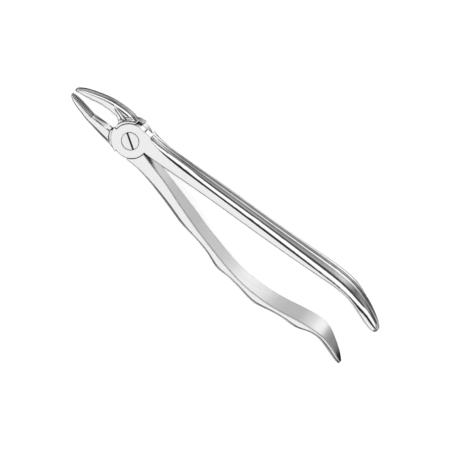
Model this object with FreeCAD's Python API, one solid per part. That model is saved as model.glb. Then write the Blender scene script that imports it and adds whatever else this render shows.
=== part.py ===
import FreeCAD, Part
import math
import os

# Dental extraction forceps: two steel halves crossing in a lap joint, held by a slotted screw.
# Millimetres.  The pivot axis is the Z axis and the rear face of the joint lies in z = 0.
# +X runs from the pivot to the handle ends, +Y to the plain handle, +Z to the screw head.

# ---- joint ----
JOINT_THICKNESS = 9.0
MIDDLE = JOINT_THICKNESS / 2
DISC_RADIUS = 8.15
RECESS_RADIUS = DISC_RADIUS + 0.3
PLATE_GAP = 0.1
SHOULDER_GAP = 0.3
PLATE_ARC_RADIUS = 9.6
PLATE_ARC_OFFSET = 0.55
FRONT_SHOULDER_END = -2.4
REAR_SHOULDER_END = -0.9
# Plan outline of a neck, where the disc widens into the handle: x and distance from the X axis.
NECK_OUTLINE = [(0.0, 7.0), (2.0, 7.9), (2.5, 8.35), (6.0, 8.35)]
HEEL_RELIEF = 3.3
BLOCK = 20.0   # side of the cutting blocks, larger than the joint

# ---- screw ----
SCREW_HEAD_RADIUS = 4.2
SCREW_HEAD_THICKNESS = 2.0
SCREW_SHANK_RADIUS = 2.6
SCREW_CHAMFER = 0.15
HEAD_CLEARANCE = 0.06
SHANK_CLEARANCE = 0.05
SEAT_CLEARANCE = 0.02
SLOT_WIDTH = 0.75
SLOT_DEPTH = 1.2
SLOT_ANGLE = -31.0

# ---- handles ----
INNER_EDGE_RADIUS = 0.45
# Lengthwise ridges of an outer side, from the flat to the middle: share of the half depth, share of
# the crown height, and how far the strip before the ridge swells (+) or hollows (-) over its width.
PLAIN_RIDGES = [(0.70, 0.70, 0.10), (0.40, 0.93, -0.05), (0.0, 1.0, -0.04)]
GROOVED_RIDGES = [(0.80, 0.50, 0.10), (0.45, 0.88, -0.04), (0.0, 1.0, -0.03)]
BEAK_RIDGES = [(0.60, 0.88, 0.12), (0.0, 1.0, 0.02)]

# ---- beaks ----
BEAK_SIDE = 3.0
RIM_SHARE = 0.62
SERRATION_START = -20.0
SERRATION_PITCH = 0.85
SERRATION_WIDTH = 0.74
SERRATION_DEPTH = 0.42
SERRATION_COUNT = 16
CUTTER_OVERHANG = 0.35   # how far a groove's cutter stands proud of the face it cuts
# Narrow round groove where a beak's rim meets the thicker joint, around the pivot axis.
COVE_RADIUS = 0.9
COVE_CENTRE_RADIUS = 10.2
COVE_CENTRE_RISE = 0.35
# Tapered valley across the upper beak's rim, from its outer edge down to the tooth gap.
VALLEY_START = (-16.5, 7.3)
VALLEY_END = (-8.0, 4.6)
VALLEY_RADII = (0.9, 2.1)
VALLEY_RISE = 0.9
# Web that closes the tooth gap: where it starts and ends along X, its reach and its width.
WEB_START = -9.2
WEB_ROOT = -8.6
UPPER_WEB = (3.2, 4.1)
LOWER_WEB = (1.3, 4.0)
WEB_OVERLAP = 0.6

# Stations of the plain handle: x, y of the inner face, half depth, width of the flats, crown height.
PLAIN_HANDLE = [
    (5.0, 0.15, 4.50, 7.90, 0.30),
    (9.0, 0.20, 4.50, 6.60, 1.50),
    (14.5, 0.80, 4.50, 5.40, 2.40),
    (22.7, 2.05, 4.60, 4.30, 3.20),
    (34.0, 4.00, 5.40, 3.75, 3.25),
    (45.5, 5.80, 6.00, 3.45, 3.25),
    (68.2, 8.60, 6.30, 3.00, 3.60),
    (90.9, 12.0, 7.30, 2.20, 3.90),
    (104.0, 14.3, 8.10, 1.60, 3.90),
    (113.6, 15.8, 8.40, 1.00, 3.80),
    (120.5, 15.9, 8.00, 0.75, 3.55),
    (126.0, 14.4, 6.80, 0.70, 3.90),
    (131.8, 11.9, 5.00, 0.80, 4.50),
    (136.6, 10.2, 3.75, 0.75, 4.10),
    (139.6, 9.60, 2.60, 0.60, 3.00),
    (141.0, 9.90, 1.20, 0.35, 1.40),
]

# Stations of the finger-grooved handle, measured the same way with y counted towards -Y.
GROOVED_HANDLE = [
    (4.0, 0.25, 4.50, 7.75, 0.40),
    (9.0, 0.50, 4.50, 6.70, 1.60),
    (15.0, 1.80, 4.50, 5.60, 1.90),
    (22.7, 3.30, 4.40, 5.00, 2.30),
    (34.0, 6.00, 5.40, 4.00, 2.80),
    (44.5, 8.50, 6.10, 3.55, 2.75),
    (50.0, 9.80, 6.10, 2.90, 2.30),
    (55.0, 10.8, 6.05, 2.45, 2.40),
    (62.0, 12.1, 6.15, 2.60, 2.60),
    (69.0, 13.3, 6.25, 3.10, 2.75),
    (73.0, 13.8, 6.30, 2.40, 2.30),
    (78.0, 14.2, 6.50, 1.85, 2.45),
    (84.0, 14.2, 6.95, 2.10, 2.80),
    (91.4, 13.5, 7.50, 2.65, 3.25),
    (95.5, 12.9, 7.75, 2.05, 3.10),
    (100.0, 11.9, 8.00, 1.60, 2.90),
    (106.5, 10.1, 8.25, 1.90, 3.00),
    (113.5, 8.10, 8.40, 2.60, 3.20),
    (116.5, 7.50, 8.35, 1.90, 2.75),
    (120.0, 7.00, 8.00, 1.20, 2.70),
    (124.0, 7.00, 7.30, 1.00, 2.90),
    (128.5, 8.20, 5.80, 1.00, 2.80),
    (133.0, 10.1, 4.20, 0.90, 2.40),
    (136.6, 12.1, 2.80, 0.65, 1.70),
    (138.5, 13.3, 1.40, 0.40, 0.85),
]

# Stations of the beaks: x, distance of the inner face from the X axis, thickness, half depth,
# hollow of the inner face.  The inner face is straight along each serrated stretch.
UPPER_BEAK = [
    (-0.9, 4.60, 4.15, 3.00, 0.0),
    (-6.0, 4.30, 4.75, 3.00, 0.0),
    (-12.0, 4.10, 5.00, 3.00, 0.2),
    (-16.0, 4.15, 4.40, 3.00, 0.4),
    (-20.5, 3.50, 3.90, 2.95, 0.5),
    (-25.0, 2.05, 3.60, 2.85, 0.5),
    (-29.5, 0.60, 3.00, 2.70, 0.45),
    (-32.0, -0.22, 2.35, 2.35, 0.3),
    (-33.6, -0.72, 1.60, 1.75, 0.15),
    (-34.4, -0.85, 0.85, 0.95, 0.05),
]
LOWER_BEAK = [
    (-2.6, 4.30, 5.35, 3.00, 0.0),
    (-5.8, 4.18, 5.25, 3.00, 0.0),
    (-9.0, 4.05, 5.15, 3.00, 0.0),
    (-13.6, 4.10, 4.75, 3.00, 0.2),
    (-18.2, 4.55, 3.75, 2.95, 0.45),
    (-21.0, 4.75, 3.30, 2.90, 0.5),
    (-25.0, 4.25, 3.00, 2.85, 0.5),
    (-29.5, 3.68, 2.65, 2.70, 0.45),
    (-32.0, 3.36, 2.15, 2.35, 0.3),
    (-33.6, 3.18, 1.50, 1.75, 0.15),
    (-34.4, 3.25, 0.80, 0.95, 0.05),
]


def arc(start, middle, end):
    return Part.Arc(start, middle, end).toShape()


def cylinder(radius, bottom, top):
    return Part.makeCylinder(radius, top - bottom, FreeCAD.Vector(0, 0, bottom))


def prism(points, bottom, top):
    """Vertical prism over a plan outline given as (x, y) corners."""
    corners = [FreeCAD.Vector(x, y, bottom) for x, y in points]
    face = Part.Face(Part.makePolygon(corners + corners[:1]))
    return face.extrude(FreeCAD.Vector(0, 0, top - bottom))


def section_point(x, inner, side):
    """Return a function placing (outward distance, height from the middle plane) in a section."""
    def place(outward, height):
        return FreeCAD.Vector(x, side * (inner + outward), MIDDLE + height)
    return place


def inner_corner(place, half, radius, sign):
    curve = Part.BezierCurve()
    ends = [place(0, sign * (half - radius)), place(radius, sign * half)]
    curve.setPoles([ends[0], place(0, sign * half), ends[1]])
    return curve.toShape()


def strip(place, start, end, swell):
    """Curved strip of an outer side between two ridges, each given as (outward, height)."""
    outward = end[0] - start[0]
    rise = end[1] - start[1]
    middle = ((start[0] + end[0]) / 2 - swell * rise, (start[1] + end[1]) / 2 + swell * outward)
    return arc(place(*start), place(*middle), place(*end))


def ridged_side(place, half, flat, crown, ridges):
    """Outer side from the front flat to the rear flat, symmetrical about the middle plane."""
    points = [(flat, half)]
    points += [(flat + crown * rise, half * share) for share, rise, swell in ridges]
    swells = [swell for share, rise, swell in ridges]
    points += [(outward, -height) for outward, height in points[-2::-1]]
    swells += swells[::-1]
    return [strip(place, *ends) for ends in zip(points, points[1:], swells)]


def handle_section(station, side, ridges):
    x, inner, half, flat, crown = station
    place = section_point(x, inner, side)
    radius = min(INNER_EDGE_RADIUS, flat / 2, half / 3)
    edges = [Part.makeLine(place(0, radius - half), place(0, half - radius))]
    edges.append(inner_corner(place, half, radius, 1))
    edges.append(Part.makeLine(place(radius, half), place(flat, half)))
    edges += ridged_side(place, half, flat, crown, ridges)
    edges.append(Part.makeLine(place(flat, -half), place(radius, -half)))
    edges.append(inner_corner(place, half, radius, -1))
    return Part.Wire(Part.sortEdges(edges)[0])


def beak_section(station, side):
    x, inner, thickness, half, hollow = station
    place = section_point(x, inner, side)
    rim = RIM_SHARE * thickness
    edges = [arc(place(0, -half), place(hollow + 0.001, 0), place(0, half))]
    edges.append(Part.makeLine(place(0, half), place(rim, half)))
    edges += ridged_side(place, half, rim, thickness - rim, BEAK_RIDGES)
    edges.append(Part.makeLine(place(rim, -half), place(0, -half)))
    return Part.Wire(Part.sortEdges(edges)[0])


def serrations(beak, side):
    """Rings of triangular section that cut the transverse grooves of a hollow beak face."""
    x, inner, thickness, half, hollow = next(row for row in beak if row[0] < SERRATION_START)
    end_x, end_inner = beak[-3][:2]
    start = FreeCAD.Vector(x, side * inner, MIDDLE)
    along = FreeCAD.Vector(end_x - x, side * (end_inner - inner), 0).normalize()
    inward = FreeCAD.Vector(-along.y, along.x, 0)
    if inward.y * side > 0:
        inward = inward * -1
    radius = (half ** 2 + hollow ** 2) / (2 * hollow)
    axis = start + inward * (radius - hollow)
    widening = (SERRATION_DEPTH + CUTTER_OVERHANG) / SERRATION_DEPTH
    half_mouth = along * (SERRATION_WIDTH / 2 * widening)
    rings = []
    for index in range(SERRATION_COUNT):
        centre = axis + along * (index * SERRATION_PITCH)
        tip = centre - inward * (radius + SERRATION_DEPTH)
        mouth = centre - inward * (radius - CUTTER_OVERHANG)
        corners = [mouth - half_mouth, tip, mouth + half_mouth]
        triangle = Part.Face(Part.makePolygon(corners + corners[:1]))
        rings.append(triangle.revolve(centre, along, 360))
    return Part.makeCompound(rings)


def joint_shoulder(side, end_x):
    """Full-thickness part of the joint on the beak side, ending in the plate arc."""
    near_y = side * SHOULDER_GAP / 2
    corner = FreeCAD.Vector(end_x - BLOCK, min(near_y, near_y + side * BLOCK), 0)
    block = Part.makeBox(BLOCK, BLOCK, JOINT_THICKNESS, corner)
    centre = FreeCAD.Vector(0, -side * PLATE_ARC_OFFSET, 0)
    return block.common(Part.makeCylinder(PLATE_ARC_RADIUS, JOINT_THICKNESS, centre))


def beak_coves():
    """Rings that round the beak rims off where they run into the thicker joint."""
    coves = []
    for face in (1, -1):
        height = MIDDLE + face * (BEAK_SIDE + COVE_CENTRE_RISE)
        coves.append(Part.makeTorus(COVE_CENTRE_RADIUS, COVE_RADIUS, FreeCAD.Vector(0, 0, height)))
    return coves


def beak_valleys():
    """Cones that sink a widening valley into the front and rear rims of the upper beak."""
    valleys = []
    for face in (1, -1):
        height = MIDDLE + face * (BEAK_SIDE + VALLEY_RISE)
        start = FreeCAD.Vector(*VALLEY_START, height)
        run = FreeCAD.Vector(*VALLEY_END, height) - start
        valleys.append(Part.makeCone(*VALLEY_RADII, run.Length, start, run))
    return valleys


def tooth_gap_web(side, reach, width):
    """Web that rounds the closed end of the gap between the beaks."""
    bottom = MIDDLE - BEAK_SIDE
    start = FreeCAD.Vector(WEB_START, side * SHOULDER_GAP / 2, bottom)
    middle = FreeCAD.Vector(WEB_START - 0.35 * reach, side * 0.68 * width, bottom)
    end = FreeCAD.Vector(WEB_START - reach, side * width, bottom)
    back = FreeCAD.Vector(WEB_ROOT, side * (width + WEB_OVERLAP), bottom)
    root = FreeCAD.Vector(WEB_ROOT, side * SHOULDER_GAP / 2, bottom)
    edges = [arc(start, middle, end), Part.makeLine(end, back)]
    edges += [Part.makeLine(back, root), Part.makeLine(root, start)]
    return Part.Face(Part.Wire(edges)).extrude(FreeCAD.Vector(0, 0, 2 * BEAK_SIDE))


def joint_neck(side, own):
    """Neck of one half, from its disc to its handle, within its own plate's thickness."""
    outline = [(x, side * y) for x, y in NECK_OUTLINE]
    outline += [(NECK_OUTLINE[-1][0], side * SHOULDER_GAP), (0, side * SHOULDER_GAP)]
    return prism(outline, *own)


def lever_half(handle, ridges, beak, web, beak_cuts, side, own, other, shoulder_end):
    """One half: disc, neck, handle and beak, relieved for the disc of the other half.

    side is the handle's side, and own and other are the height ranges of the two joint plates."""
    handle_body = Part.makeLoft([handle_section(row, side, ridges) for row in handle], True)
    beak_body = Part.makeLoft([beak_section(row, -side) for row in beak], True)
    beak_body = beak_body.fuse(tooth_gap_web(-side, *web)).cut(beak_cuts)
    beak_body = beak_body.cut(serrations(beak, -side))
    disc = cylinder(DISC_RADIUS, *own)
    body = disc.fuse([joint_neck(side, own), joint_shoulder(-side, shoulder_end), handle_body, beak_body])
    recess = cylinder(RECESS_RADIUS, *other)
    heel_corner = FreeCAD.Vector(-HEEL_RELIEF, min(0, -side * BLOCK), other[0])
    heel = Part.makeBox(BLOCK, BLOCK, other[1] - other[0], heel_corner)
    return body.cut([recess, heel]).removeSplitter()


def make_front_half():
    own = (MIDDLE + PLATE_GAP / 2, JOINT_THICKNESS)
    other = (-1.0, MIDDLE + PLATE_GAP / 2)
    cuts = beak_coves()
    body = lever_half(PLAIN_HANDLE, PLAIN_RIDGES, LOWER_BEAK, LOWER_WEB, cuts, 1, own, other,
                      FRONT_SHOULDER_END)
    head_floor = JOINT_THICKNESS - SCREW_HEAD_THICKNESS - HEAD_CLEARANCE
    bore = cylinder(SCREW_SHANK_RADIUS + SHANK_CLEARANCE, 0, JOINT_THICKNESS + 1)
    seat = cylinder(SCREW_HEAD_RADIUS + HEAD_CLEARANCE, head_floor, JOINT_THICKNESS + 1)
    return body.cut([bore, seat])


def make_rear_half():
    own = (0.0, MIDDLE - PLATE_GAP / 2)
    other = (MIDDLE - PLATE_GAP / 2, JOINT_THICKNESS + 1)
    cuts = beak_coves() + beak_valleys()
    body = lever_half(GROOVED_HANDLE, GROOVED_RIDGES, UPPER_BEAK, UPPER_WEB, cuts, -1, own, other,
                      REAR_SHOULDER_END)
    bore = cylinder(SCREW_SHANK_RADIUS + SEAT_CLEARANCE, -1, JOINT_THICKNESS)
    return body.cut(bore)


def make_joint_screw():
    head = cylinder(SCREW_HEAD_RADIUS, JOINT_THICKNESS - SCREW_HEAD_THICKNESS, JOINT_THICKNESS)
    shank = cylinder(SCREW_SHANK_RADIUS, 0, JOINT_THICKNESS - 1)
    screw = head.fuse(shank).removeSplitter()
    rims = []
    for edge in screw.Edges:
        if edge.Closed and edge.BoundBox.ZLength < 0.01:
            if abs(edge.BoundBox.ZMin - JOINT_THICKNESS) < 0.01 or abs(edge.BoundBox.ZMin) < 0.01:
                rims.append(edge)
    screw = screw.makeChamfer(SCREW_CHAMFER, rims)
    slot_floor = JOINT_THICKNESS - SLOT_DEPTH
    corner = FreeCAD.Vector(-BLOCK / 2, -SLOT_WIDTH / 2, slot_floor)
    slot = Part.makeBox(BLOCK, SLOT_WIDTH, SLOT_DEPTH + 1, corner)
    slot.rotate(FreeCAD.Vector(0, 0, 0), FreeCAD.Vector(0, 0, 1), SLOT_ANGLE)
    return screw.cut(slot)


def export(name, shape):
    if shape.ShapeType == "Compound" and len(shape.Solids) == 1:
        shape = shape.Solids[0]
    print(name, shape.ShapeType, "valid", shape.isValid(), "faces", len(shape.Faces))
    print("  ", shape.BoundBox)
    shape.exportStep("parts/" + name + ".step")


os.makedirs("parts", exist_ok=True)
export("front_half", make_front_half())
export("rear_half", make_rear_half())
export("joint_screw", make_joint_screw())
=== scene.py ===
import math

import bpy
from mathutils import Matrix, Vector


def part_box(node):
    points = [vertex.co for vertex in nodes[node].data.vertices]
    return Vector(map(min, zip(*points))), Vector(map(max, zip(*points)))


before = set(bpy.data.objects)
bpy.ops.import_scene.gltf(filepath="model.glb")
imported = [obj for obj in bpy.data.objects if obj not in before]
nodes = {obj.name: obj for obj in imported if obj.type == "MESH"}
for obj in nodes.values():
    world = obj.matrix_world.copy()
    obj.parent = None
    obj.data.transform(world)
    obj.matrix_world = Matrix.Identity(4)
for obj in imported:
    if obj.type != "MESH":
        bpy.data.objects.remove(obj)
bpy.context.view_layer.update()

MM = 0.001
JOINT_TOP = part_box("joint_screw")[1].z
FLOOR_GAP = 0.2 * MM
FLOOR_Z = min(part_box("front_half")[0].z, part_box("rear_half")[0].z) - FLOOR_GAP
FLOOR_HALF_SIZE = 2.5

# The camera looks down at the joint's face, tilted about the X axis and rolled about its own.
VIEW_TILT = math.radians(24)
VIEW_ROLL = math.radians(42)
VIEW_WIDTH = 204.5 * MM
VIEW_TARGET_ALONG = 57.5 * MM
VIEW_TARGET_ACROSS = 0.6 * MM
CAMERA_DISTANCE = 1.6
SENSOR_MM = 36.0
TOWARD_VIEW = (0, math.sin(VIEW_TILT), math.cos(VIEW_TILT))

FILL_SHARE = 0.3
AXIAL_STRENGTH = 3.0
AXIAL_SPREAD = math.radians(5)

STEEL_GREY = 0.58
# How far the painted shade in narrow recesses reaches.
RECESS_REACH = 1.0 * MM
EDGE_RADIUS = 0.45 * MM
SCRATCH_DEPTH = 0.01 * MM
SCRATCH_STRENGTH = 0.12
SHADER_SAMPLES = 8

UP = (0, 0, 1)
DOWN = (0, 0, -1)
TOWARD_PLAIN_HANDLE = (0, 1, 0)

# Angle from overhead towards +Y, in degrees, and brightness.
TENT_STRIPS = [
    (-180, 0.10), (-122, 0.12), (-116, 1.3), (-100, 1.3), (-94, 0.10), (-52, 0.10), (-44, 1.5), (-2, 1.5),
    (6, 0.04), (30, 0.04), (38, 1.75), (70, 1.75), (76, 0.08), (92, 0.10), (100, 0.7), (120, 1.1),
    (138, 0.6), (144, 0.10), (149, 1.7), (163, 1.7), (170, 0.10), (180, 0.10),
]
# Share of the light that is left as a direction leans lengthwise, above and below the horizon.
UPPER_FALL = [(0.0, 1.0), (0.80, 1.0), (0.92, 0.5), (1.0, 0.5)]
LOWER_FALL = [(0.0, 1.0), (0.05, 1.0), (0.16, 0.55), (0.30, 0.25), (0.6, 0.6), (1.0, 0.9)]


# ---- camera ----
def add_camera():
    along = Vector((1, 0, 0))
    back = Vector(TOWARD_VIEW)
    across = Vector((0, math.cos(VIEW_TILT), -math.sin(VIEW_TILT)))
    right = along * math.cos(VIEW_ROLL) + across * math.sin(VIEW_ROLL)
    up = across * math.cos(VIEW_ROLL) - along * math.sin(VIEW_ROLL)
    target = Vector((0, 0, JOINT_TOP)) + along * VIEW_TARGET_ALONG + across * VIEW_TARGET_ACROSS
    data = bpy.data.cameras.new("camera")
    data.sensor_width = SENSOR_MM
    data.lens = SENSOR_MM * CAMERA_DISTANCE / VIEW_WIDTH
    data.clip_start = 0.01
    data.clip_end = 20
    camera = bpy.data.objects.new("camera", data)
    rotation = Matrix((right, up, back)).transposed().to_4x4()
    camera.matrix_world = Matrix.Translation(target + back * CAMERA_DISTANCE) @ rotation
    bpy.context.scene.collection.objects.link(camera)
    bpy.context.scene.camera = camera


# ---- floor and light ----
def add_floor():
    """Plain pale floor, left out of the steel's reflections so that its edges stay visible."""
    mesh = bpy.data.meshes.new("floor")
    plan = [(-1, -1), (1, -1), (1, 1), (-1, 1)]
    corners = [(x * FLOOR_HALF_SIZE, y * FLOOR_HALF_SIZE, FLOOR_Z) for x, y in plan]
    mesh.from_pydata(corners, [], [(0, 1, 2, 3)])
    floor = bpy.data.objects.new("floor", mesh)
    bpy.context.scene.collection.objects.link(floor)
    material = bpy.data.materials.new("floor")
    material.use_nodes = True
    shader = material.node_tree.nodes["Principled BSDF"]
    shader.inputs["Base Color"].default_value = (0.95, 0.95, 0.95, 1)
    shader.inputs["Roughness"].default_value = 0.9
    shader.inputs["Specular IOR Level"].default_value = 0.1
    mesh.materials.append(material)
    floor.visible_glossy = False


def add_axial_light():
    """Broad light along the camera's axis, so that its shadow stays hidden behind the object."""
    data = bpy.data.lights.new("axial_light", "SUN")
    data.angle = AXIAL_SPREAD
    data.energy = AXIAL_STRENGTH
    lamp = bpy.data.objects.new("axial_light", data)
    lamp.rotation_euler = Vector(TOWARD_VIEW).to_track_quat("Z", "Y").to_euler()
    lamp.visible_glossy = False
    bpy.context.scene.collection.objects.link(lamp)


def ramp(tree, factor, stops):
    """Colour ramp node over grey stops given as (position, value)."""
    node = tree.nodes.new("ShaderNodeValToRGB")
    tree.links.new(factor, node.inputs["Fac"])
    elements = node.color_ramp.elements
    while len(elements) > 1:
        elements.remove(elements[-1])
    for index, (position, value) in enumerate(stops):
        element = elements[0] if index == 0 else elements.new(position)
        element.position = position
        element.color = (value, value, value, 1)
    return node.outputs["Color"]


def math_node(tree, operation, first, second):
    node = tree.nodes.new("ShaderNodeMath")
    node.operation = operation
    for socket, value in zip(node.inputs, (first, second)):
        if isinstance(value, (int, float)):
            socket.default_value = value
        else:
            tree.links.new(value, socket)
    return node.outputs["Value"]


def dot_node(tree, vector, direction):
    node = tree.nodes.new("ShaderNodeVectorMath")
    node.operation = "DOT_PRODUCT"
    tree.links.new(vector, node.inputs[0])
    node.inputs[1].default_value = direction
    return node.outputs["Value"]


def add_world():
    """Strips of light and dark running along the object.

    The ramp is over the direction's angle about the X axis: 0.5 is overhead, 0 and 1 are below,
    and it rises from the -Y side to the +Y side.  The floor gets only a share of this light."""
    world = bpy.data.worlds.new("studio")
    bpy.context.scene.world = world
    world.use_nodes = True
    tree = world.node_tree
    background = tree.nodes["Background"]
    direction = tree.nodes.new("ShaderNodeTexCoord").outputs["Generated"]
    sideways = dot_node(tree, direction, (0, 1, 0))
    height = dot_node(tree, direction, UP)
    angle = math_node(tree, "ARCTAN2", sideways, height)
    share = math_node(tree, "ADD", math_node(tree, "DIVIDE", angle, 2 * math.pi), 0.5)
    stops = [(0.5 + degrees / 360, value) for degrees, value in TENT_STRIPS]
    tent = ramp(tree, share, stops)
    lengthwise = math_node(tree, "ABSOLUTE", dot_node(tree, direction, (1, 0, 0)), 0)
    below = math_node(tree, "LESS_THAN", height, 0.0)
    above = math_node(tree, "SUBTRACT", 1.0, below)
    upper = math_node(tree, "MULTIPLY", above, ramp(tree, lengthwise, UPPER_FALL))
    lower = math_node(tree, "MULTIPLY", below, ramp(tree, lengthwise, LOWER_FALL))
    light = math_node(tree, "MULTIPLY", tent, math_node(tree, "ADD", upper, lower))
    tree.links.new(light, background.inputs["Color"])
    seen = tree.nodes.new("ShaderNodeLightPath").outputs["Is Diffuse Ray"]
    strength = math_node(tree, "MULTIPLY_ADD", seen, FILL_SHARE - 1)
    strength.node.inputs[2].default_value = 1.0
    tree.links.new(strength, background.inputs["Strength"])


# ---- metal ----
def noise(tree, scale, stretch, detail):
    """Noise over the surface's own position, stretched along the three axes."""
    place = tree.nodes.new("ShaderNodeTexCoord").outputs["Object"]
    mapping = tree.nodes.new("ShaderNodeMapping")
    mapping.inputs["Scale"].default_value = stretch
    tree.links.new(place, mapping.inputs["Vector"])
    texture = tree.nodes.new("ShaderNodeTexNoise")
    texture.inputs["Scale"].default_value = scale
    texture.inputs["Detail"].default_value = detail
    tree.links.new(mapping.outputs["Vector"], texture.inputs["Vector"])
    return texture.outputs["Fac"]


def spread(tree, value, low, high):
    """Map a value from 0-1 onto the range from low to high."""
    node = tree.nodes.new("ShaderNodeMapRange")
    node.inputs["To Min"].default_value = low
    node.inputs["To Max"].default_value = high
    tree.links.new(value, node.inputs["Value"])
    return node.outputs["Result"]


def steel(name, polished, satin, satin_facing):
    """Steel that is satin where it faces one of the given directions, and polished elsewhere.

    Fine lengthwise polishing lines vary its gloss, hairline scratches and a faint ripple bend
    its reflections, and narrow recesses are darkened to near black with painted shade."""
    material = bpy.data.materials.new(name)
    material.use_nodes = True
    tree = material.node_tree
    shader = tree.nodes["Principled BSDF"]
    shader.inputs["Metallic"].default_value = 1.0

    normal = tree.nodes.new("ShaderNodeTexCoord").outputs["Normal"]
    facing = 0.0
    for direction in satin_facing:
        lean = dot_node(tree, normal, direction)
        squarely = ramp(tree, lean, [(0.0, 0.0), (0.93, 0.0), (0.985, 1.0)])
        facing = math_node(tree, "MAXIMUM", facing, squarely)
    grain = noise(tree, 900, (0.08, 1.0, 1.0), 3.0)
    smear = noise(tree, 45, (0.4, 1.0, 1.0), 4.0)
    gloss = spread(tree, facing, polished, satin)
    gloss = math_node(tree, "MULTIPLY", gloss, spread(tree, grain, 0.75, 1.3))
    gloss = math_node(tree, "MULTIPLY", gloss, spread(tree, smear, 0.8, 1.25))
    tree.links.new(gloss, shader.inputs["Roughness"])

    # Painted shade: the base colour goes near black in narrow recesses and seams, where ambient occlusion
    # finds nearby surfaces.
    recess = tree.nodes.new("ShaderNodeAmbientOcclusion")
    recess.samples = SHADER_SAMPLES
    recess.inputs["Distance"].default_value = RECESS_REACH
    recess_shade_stops = [(0.0, 0.02), (0.45, 0.05), (0.80, STEEL_GREY), (1.0, STEEL_GREY)]
    painted_recess_shade = ramp(tree, recess.outputs["AO"], recess_shade_stops)
    # Base colour: painted recess shade, times a faint random tone variation.
    shaded_base_tone = math_node(tree, "MULTIPLY", painted_recess_shade, spread(tree, smear, 0.97, 1.03))
    tree.links.new(shaded_base_tone, shader.inputs["Base Color"])

    bevel = tree.nodes.new("ShaderNodeBevel")
    bevel.samples = SHADER_SAMPLES
    bevel.inputs["Radius"].default_value = EDGE_RADIUS
    hairlines = noise(tree, 1400, (0.03, 1.0, 1.0), 1.0)
    scratches = ramp(tree, hairlines, [(0.0, 0.0), (0.62, 0.0), (0.70, 1.0)])
    relief = math_node(tree, "ADD", scratches, math_node(tree, "MULTIPLY", smear, 0.6))
    bump = tree.nodes.new("ShaderNodeBump")
    bump.inputs["Strength"].default_value = SCRATCH_STRENGTH
    bump.inputs["Distance"].default_value = SCRATCH_DEPTH
    tree.links.new(relief, bump.inputs["Height"])
    tree.links.new(bevel.outputs["Normal"], bump.inputs["Normal"])
    tree.links.new(bump.outputs["Normal"], shader.inputs["Normal"])
    return material


STEELS = {
    "front_half": steel("plain_half_steel", 0.07, 0.22, [UP, DOWN]),
    "rear_half": steel("grooved_half_steel", 0.07, 0.22, [UP, DOWN, TOWARD_PLAIN_HANDLE]),
    "joint_screw": steel("screw_steel", 0.12, 0.26, [UP, DOWN]),
}
for node, material in STEELS.items():
    nodes[node].data.materials.clear()
    nodes[node].data.materials.append(material)

add_camera()
add_floor()
add_world()
add_axial_light()
bpy.context.scene.view_settings.view_transform = "Standard"
